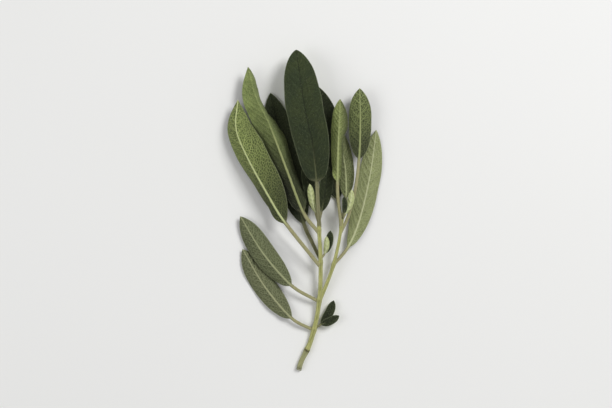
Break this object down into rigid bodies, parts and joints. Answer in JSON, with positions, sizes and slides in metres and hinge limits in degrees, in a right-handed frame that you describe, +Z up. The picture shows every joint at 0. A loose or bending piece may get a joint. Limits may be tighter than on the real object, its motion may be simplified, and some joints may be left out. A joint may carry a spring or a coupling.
{
  "type": "sage sprig",
  "caption": "Cut sage sprig lying flat: square stem with a side shoot, large crinkled leaves on petioles and tufts of young leaves.",
  "frame": {"origin": "on the flat underside of the stem, 3 mm from its cut end, on the surface that the sprig lies on", "axes": "+Y along the sprig from the cut end to the leaf tips, +Z up from the surface, +X to the right seen from above"},
  "size_m": [0.0878, 0.1812, 0.0185],
  "materials": {
    "stem_green": "matte, finely felted",
    "leaf_upper_face": "matte, pebbled and finely felted",
    "leaf_underside": "matte, net-veined and felted",
    "young_leaf": "matte, finely felted"
  },
  "bodies": {
    "root": {"stem": "stem_green", "leaf_top": "leaf_upper_face", "leaf_top_left": "leaf_underside", "leaf_middle_left": "leaf_underside", "leaf_middle_under": "leaf_upper_face", "leaf_lower_left": "leaf_underside", "leaf_lowest_left": "leaf_underside", "shoot_leaf_front": "leaf_underside", "shoot_leaf_under": "leaf_upper_face", "shoot_leaf_inner": "leaf_underside", "shoot_leaf_outer": "leaf_underside", "shoot_leaf_right": "leaf_underside", "tip_leaves": "young_leaf", "shoot_tip_leaves": "young_leaf", "axil_leaves_low": "young_leaf", "axil_leaves_middle": "young_leaf"}
  },
  "joints": []
}
